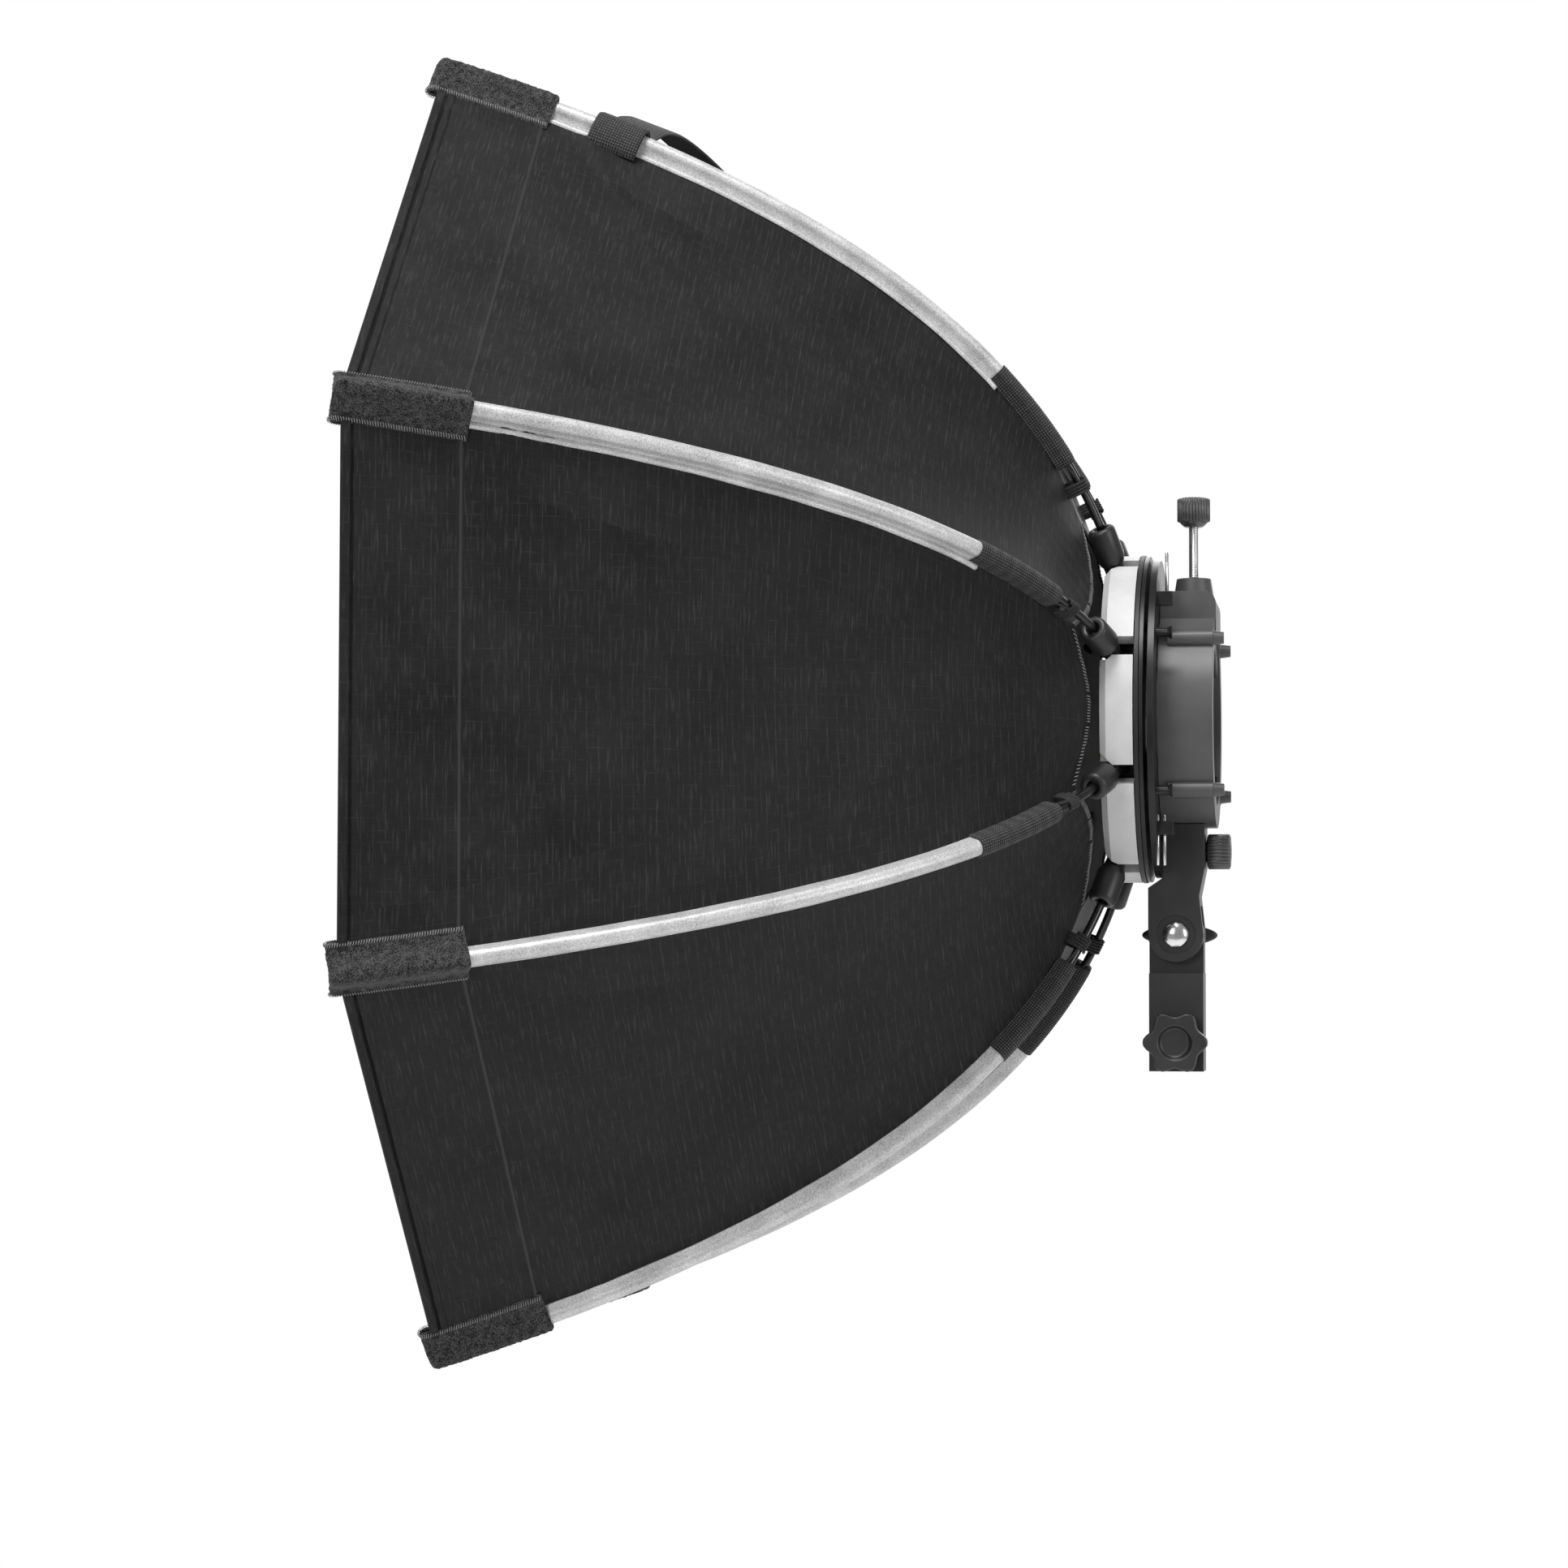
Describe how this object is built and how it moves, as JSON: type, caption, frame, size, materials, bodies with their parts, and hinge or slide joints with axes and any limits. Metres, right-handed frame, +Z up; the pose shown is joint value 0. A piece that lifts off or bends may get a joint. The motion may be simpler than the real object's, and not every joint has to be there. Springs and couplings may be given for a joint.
{
  "type": "studio softbox",
  "caption": "Folding octagonal softbox with curved ribs, black cover, recessed white diffuser and a tilting flash bracket.",
  "frame": {"origin": "centre of the mouth of the stand socket in the underside of the stand adapter", "axes": "+Z up along the stand, -Y out of the softbox's open front, X along the tilt pivot"},
  "size_m": [0.6044, 0.3635, 0.6044],
  "materials": {
    "black_ripstop": "satin",
    "white_diffuser": "matte",
    "black_plastic": "satin",
    "grey_plastic": "satin",
    "black_metal": "satin",
    "steel": "polished",
    "rubber": "matte",
    "webbing": "matte",
    "loop_pile": "matte",
    "grey_sleeve": "satin",
    "silver_lining": "metallic"
  },
  "bodies": {
    "stand_adapter": {"stand_adapter": "black_plastic"},
    "bracket": {"tilt_arm": "black_plastic", "clamp_body": "black_plastic", "face_plate": "black_metal", "lower_pad": "rubber", "pivot_bolt": "steel"},
    "tilt_lever": {"tilt_lever": "black_plastic"},
    "star_knob": {"star_knob": "black_plastic"},
    "rear_thumbscrew": {"rear_thumbscrew": "black_plastic"},
    "upper_jaw": {"upper_jaw": "black_plastic", "upper_pad": "rubber"},
    "clamp_screw": {"clamp_screw": "steel", "clamp_knob": "black_plastic"},
    "hub": {"hub_ring": "black_plastic", "bayonet_ring": "black_metal", "rib_hinge_wire": "steel"},
    "rib_1": {"rib_1": "black_plastic", "rib_panel_1": "black_ripstop"},
    "rib_2": {"rib_2": "black_plastic", "rib_panel_2": "black_ripstop"},
    "rib_3": {"rib_3": "black_plastic", "rib_panel_3": "black_ripstop"},
    "rib_4": {"rib_4": "black_plastic", "rib_panel_4": "black_ripstop"},
    "rib_5": {"rib_5": "black_plastic", "rib_panel_5": "black_ripstop"},
    "rib_6": {"rib_6": "black_plastic", "rib_panel_6": "black_ripstop"},
    "rib_7": {"rib_7": "black_plastic", "rib_panel_7": "black_ripstop"},
    "rib_8": {"rib_8": "black_plastic", "rib_panel_8": "black_ripstop"},
    "gore_1": {"gore_1": "black_ripstop"},
    "gore_2": {"gore_2": "black_ripstop", "carry_handle": "webbing"},
    "gore_3": {"gore_3": "black_ripstop"},
    "gore_4": {"gore_4": "black_ripstop"},
    "gore_5": {"gore_5": "black_ripstop"},
    "gore_6": {"gore_6": "black_ripstop"},
    "gore_7": {"gore_7": "black_ripstop"},
    "gore_8": {"gore_8": "black_ripstop"},
    "diffuser_1": {"diffuser_1": "white_diffuser"},
    "diffuser_2": {"diffuser_2": "white_diffuser"},
    "diffuser_3": {"diffuser_3": "white_diffuser"},
    "diffuser_4": {"diffuser_4": "white_diffuser"},
    "diffuser_5": {"diffuser_5": "white_diffuser"},
    "diffuser_6": {"diffuser_6": "white_diffuser"},
    "diffuser_7": {"diffuser_7": "white_diffuser"},
    "diffuser_8": {"diffuser_8": "white_diffuser"},
    "release_key_1": {"release_key_1": "grey_plastic"},
    "release_key_2": {"release_key_2": "grey_plastic"},
    "release_key_3": {"release_key_3": "grey_plastic"},
    "release_key_4": {"release_key_4": "grey_plastic"},
    "release_key_5": {"release_key_5": "grey_plastic"},
    "release_key_6": {"release_key_6": "grey_plastic"},
    "release_key_7": {"release_key_7": "grey_plastic"},
    "release_key_8": {"release_key_8": "grey_plastic"}
  },
  "joints": [
    {"name": "tilt", "type": "hinge", "parent": "stand_adapter", "child": "bracket", "pos_m": [0, 0, 0.0656], "axis": [-1, 0, 0], "range_deg": [-40, 90]},
    {"name": "tilt_lever_turn", "type": "hinge", "parent": "bracket", "child": "tilt_lever", "pos_m": [0, 0, 0.0656], "axis": [1, 0, 0], "continuous": true},
    {"name": "star_knob_turn", "type": "hinge", "parent": "stand_adapter", "child": "star_knob", "pos_m": [0, 0, 0.014], "axis": [1, 0, 0], "continuous": true},
    {"name": "rear_thumbscrew_turn", "type": "hinge", "parent": "bracket", "child": "rear_thumbscrew", "pos_m": [0, 0.004, 0.1057], "axis": [0, 1, 0], "continuous": true},
    {"name": "upper_jaw_slide", "type": "slide", "parent": "bracket", "child": "upper_jaw", "axis": [0, 0, -1], "range_m": [0, 0.021]},
    {"name": "clamp_screw_turn", "type": "hinge", "parent": "upper_jaw", "child": "clamp_screw", "pos_m": [0, 0.0085, 0.25], "axis": [0, 0, 1], "range_deg": [0, 5041]},
    {"name": "bayonet_twist", "type": "hinge", "parent": "bracket", "child": "hub", "pos_m": [0, -0.016, 0.17], "axis": [0, -1, 0], "range_deg": [0, 18]},
    {"name": "rib_1_fold", "type": "hinge", "parent": "hub", "child": "rib_1", "pos_m": [0.05913, -0.024, 0.19449], "axis": [0.3827, 0, -0.9239], "range_deg": [0, 39.3]},
    {"name": "rib_2_fold", "type": "hinge", "parent": "hub", "child": "rib_2", "pos_m": [0.02449, -0.024, 0.22913], "axis": [0.9239, 0, -0.3827], "range_deg": [0, 39.3]},
    {"name": "rib_3_fold", "type": "hinge", "parent": "hub", "child": "rib_3", "pos_m": [-0.02449, -0.024, 0.22913], "axis": [0.9239, 0, 0.3827], "range_deg": [0, 39.3]},
    {"name": "rib_4_fold", "type": "hinge", "parent": "hub", "child": "rib_4", "pos_m": [-0.05913, -0.024, 0.19449], "axis": [0.3827, 0, 0.9239], "range_deg": [0, 39.3]},
    {"name": "rib_5_fold", "type": "hinge", "parent": "hub", "child": "rib_5", "pos_m": [-0.05913, -0.024, 0.14551], "axis": [-0.3827, 0, 0.9239], "range_deg": [0, 39.3]},
    {"name": "rib_6_fold", "type": "hinge", "parent": "hub", "child": "rib_6", "pos_m": [-0.02449, -0.024, 0.11087], "axis": [-0.9239, 0, 0.3827], "range_deg": [0, 39.3]},
    {"name": "rib_7_fold", "type": "hinge", "parent": "hub", "child": "rib_7", "pos_m": [0.02449, -0.024, 0.11087], "axis": [-0.9239, 0, -0.3827], "range_deg": [0, 39.3]},
    {"name": "rib_8_fold", "type": "hinge", "parent": "hub", "child": "rib_8", "pos_m": [0.05913, -0.024, 0.14551], "axis": [-0.3827, 0, -0.9239], "range_deg": [0, 39.3]},
    {"name": "gore_1_fold", "type": "hinge", "parent": "hub", "child": "gore_1", "pos_m": [0.04181, -0.024, 0.21181], "axis": [0.7071, 0, -0.7071], "range_deg": [0, 38.7], "deforming": ["gore_1"]},
    {"name": "gore_2_fold", "type": "hinge", "parent": "hub", "child": "gore_2", "pos_m": [0, -0.024, 0.22913], "axis": [1, 0, 0], "range_deg": [0, 38.7], "deforming": ["gore_2", "carry_handle"]},
    {"name": "gore_3_fold", "type": "hinge", "parent": "hub", "child": "gore_3", "pos_m": [-0.04181, -0.024, 0.21181], "axis": [0.7071, 0, 0.7071], "range_deg": [0, 38.7], "deforming": ["gore_3"]},
    {"name": "gore_4_fold", "type": "hinge", "parent": "hub", "child": "gore_4", "pos_m": [-0.05913, -0.024, 0.17], "axis": [0, 0, 1], "range_deg": [0, 38.7], "deforming": ["gore_4"]},
    {"name": "gore_5_fold", "type": "hinge", "parent": "hub", "child": "gore_5", "pos_m": [-0.04181, -0.024, 0.12819], "axis": [-0.7071, 0, 0.7071], "range_deg": [0, 38.7], "deforming": ["gore_5"]},
    {"name": "gore_6_fold", "type": "hinge", "parent": "hub", "child": "gore_6", "pos_m": [0, -0.024, 0.11087], "axis": [-1, 0, 0], "range_deg": [0, 38.7], "deforming": ["gore_6"]},
    {"name": "gore_7_fold", "type": "hinge", "parent": "hub", "child": "gore_7", "pos_m": [0.04181, -0.024, 0.12819], "axis": [-0.7071, 0, -0.7071], "range_deg": [0, 38.7], "deforming": ["gore_7"]},
    {"name": "gore_8_fold", "type": "hinge", "parent": "hub", "child": "gore_8", "pos_m": [0.05913, -0.024, 0.17], "axis": [0, 0, -1], "range_deg": [0, 38.7], "deforming": ["gore_8"]},
    {"name": "diffuser_1_fold", "type": "hinge", "parent": "gore_1", "child": "diffuser_1", "pos_m": [0.19428, -0.2785, 0.36428], "axis": [0.7071, 0, -0.7071], "range_deg": [0, 39.4], "deforming": ["diffuser_1"]},
    {"name": "diffuser_2_fold", "type": "hinge", "parent": "gore_2", "child": "diffuser_2", "pos_m": [0, -0.2785, 0.44475], "axis": [1, 0, 0], "range_deg": [0, 39.4], "deforming": ["diffuser_2"]},
    {"name": "diffuser_3_fold", "type": "hinge", "parent": "gore_3", "child": "diffuser_3", "pos_m": [-0.19428, -0.2785, 0.36428], "axis": [0.7071, 0, 0.7071], "range_deg": [0, 39.4], "deforming": ["diffuser_3"]},
    {"name": "diffuser_4_fold", "type": "hinge", "parent": "gore_4", "child": "diffuser_4", "pos_m": [-0.27475, -0.2785, 0.17], "axis": [0, 0, 1], "range_deg": [0, 39.4], "deforming": ["diffuser_4"]},
    {"name": "diffuser_5_fold", "type": "hinge", "parent": "gore_5", "child": "diffuser_5", "pos_m": [-0.19428, -0.2785, -0.02428], "axis": [-0.7071, 0, 0.7071], "range_deg": [0, 39.4], "deforming": ["diffuser_5"]},
    {"name": "diffuser_6_fold", "type": "hinge", "parent": "gore_6", "child": "diffuser_6", "pos_m": [0, -0.2785, -0.10475], "axis": [-1, 0, 0], "range_deg": [0, 39.4], "deforming": ["diffuser_6"]},
    {"name": "diffuser_7_fold", "type": "hinge", "parent": "gore_7", "child": "diffuser_7", "pos_m": [0.19428, -0.2785, -0.02428], "axis": [-0.7071, 0, -0.7071], "range_deg": [0, 39.4], "deforming": ["diffuser_7"]},
    {"name": "diffuser_8_fold", "type": "hinge", "parent": "gore_8", "child": "diffuser_8", "pos_m": [0.27475, -0.2785, 0.17], "axis": [0, 0, -1], "range_deg": [0, 39.4], "deforming": ["diffuser_8"]},
    {"name": "release_key_1_press", "type": "slide", "parent": "hub", "child": "release_key_1", "axis": [-0.7071, 0, -0.7071], "range_m": [0, 0.0028], "stiffness_N_per_m": 600},
    {"name": "release_key_2_press", "type": "slide", "parent": "hub", "child": "release_key_2", "axis": [0, 0, -1], "range_m": [0, 0.0028], "stiffness_N_per_m": 600},
    {"name": "release_key_3_press", "type": "slide", "parent": "hub", "child": "release_key_3", "axis": [0.7071, 0, -0.7071], "range_m": [0, 0.0028], "stiffness_N_per_m": 600},
    {"name": "release_key_4_press", "type": "slide", "parent": "hub", "child": "release_key_4", "axis": [1, 0, 0], "range_m": [0, 0.0028], "stiffness_N_per_m": 600},
    {"name": "release_key_5_press", "type": "slide", "parent": "hub", "child": "release_key_5", "axis": [0.7071, 0, 0.7071], "range_m": [0, 0.0028], "stiffness_N_per_m": 600},
    {"name": "release_key_6_press", "type": "slide", "parent": "hub", "child": "release_key_6", "axis": [0, 0, 1], "range_m": [0, 0.0028], "stiffness_N_per_m": 600},
    {"name": "release_key_7_press", "type": "slide", "parent": "hub", "child": "release_key_7", "axis": [-0.7071, 0, 0.7071], "range_m": [0, 0.0028], "stiffness_N_per_m": 600},
    {"name": "release_key_8_press", "type": "slide", "parent": "hub", "child": "release_key_8", "axis": [-1, 0, 0], "range_m": [0, 0.0028], "stiffness_N_per_m": 600}
  ],
  "couplings": [
    {"joint": "clamp_screw_turn", "follows": "upper_jaw_slide", "rad_per_m": 4188.8},
    {"joint": "rib_2_fold", "follows": "rib_1_fold", "ratio": 1},
    {"joint": "rib_3_fold", "follows": "rib_1_fold", "ratio": 1},
    {"joint": "rib_4_fold", "follows": "rib_1_fold", "ratio": 1},
    {"joint": "rib_5_fold", "follows": "rib_1_fold", "ratio": 1},
    {"joint": "rib_6_fold", "follows": "rib_1_fold", "ratio": 1},
    {"joint": "rib_7_fold", "follows": "rib_1_fold", "ratio": 1},
    {"joint": "rib_8_fold", "follows": "rib_1_fold", "ratio": 1},
    {"joint": "gore_1_fold", "follows": "rib_1_fold", "ratio": 0.98219},
    {"joint": "gore_2_fold", "follows": "rib_1_fold", "ratio": 0.98219},
    {"joint": "gore_3_fold", "follows": "rib_1_fold", "ratio": 0.98219},
    {"joint": "gore_4_fold", "follows": "rib_1_fold", "ratio": 0.98219},
    {"joint": "gore_5_fold", "follows": "rib_1_fold", "ratio": 0.98219},
    {"joint": "gore_6_fold", "follows": "rib_1_fold", "ratio": 0.98219},
    {"joint": "gore_7_fold", "follows": "rib_1_fold", "ratio": 0.98219},
    {"joint": "gore_8_fold", "follows": "rib_1_fold", "ratio": 0.98219},
    {"joint": "diffuser_1_fold", "follows": "rib_1_fold", "ratio": 1},
    {"joint": "diffuser_2_fold", "follows": "rib_1_fold", "ratio": 1},
    {"joint": "diffuser_3_fold", "follows": "rib_1_fold", "ratio": 1},
    {"joint": "diffuser_4_fold", "follows": "rib_1_fold", "ratio": 1},
    {"joint": "diffuser_5_fold", "follows": "rib_1_fold", "ratio": 1},
    {"joint": "diffuser_6_fold", "follows": "rib_1_fold", "ratio": 1},
    {"joint": "diffuser_7_fold", "follows": "rib_1_fold", "ratio": 1},
    {"joint": "diffuser_8_fold", "follows": "rib_1_fold", "ratio": 1}
  ]
}
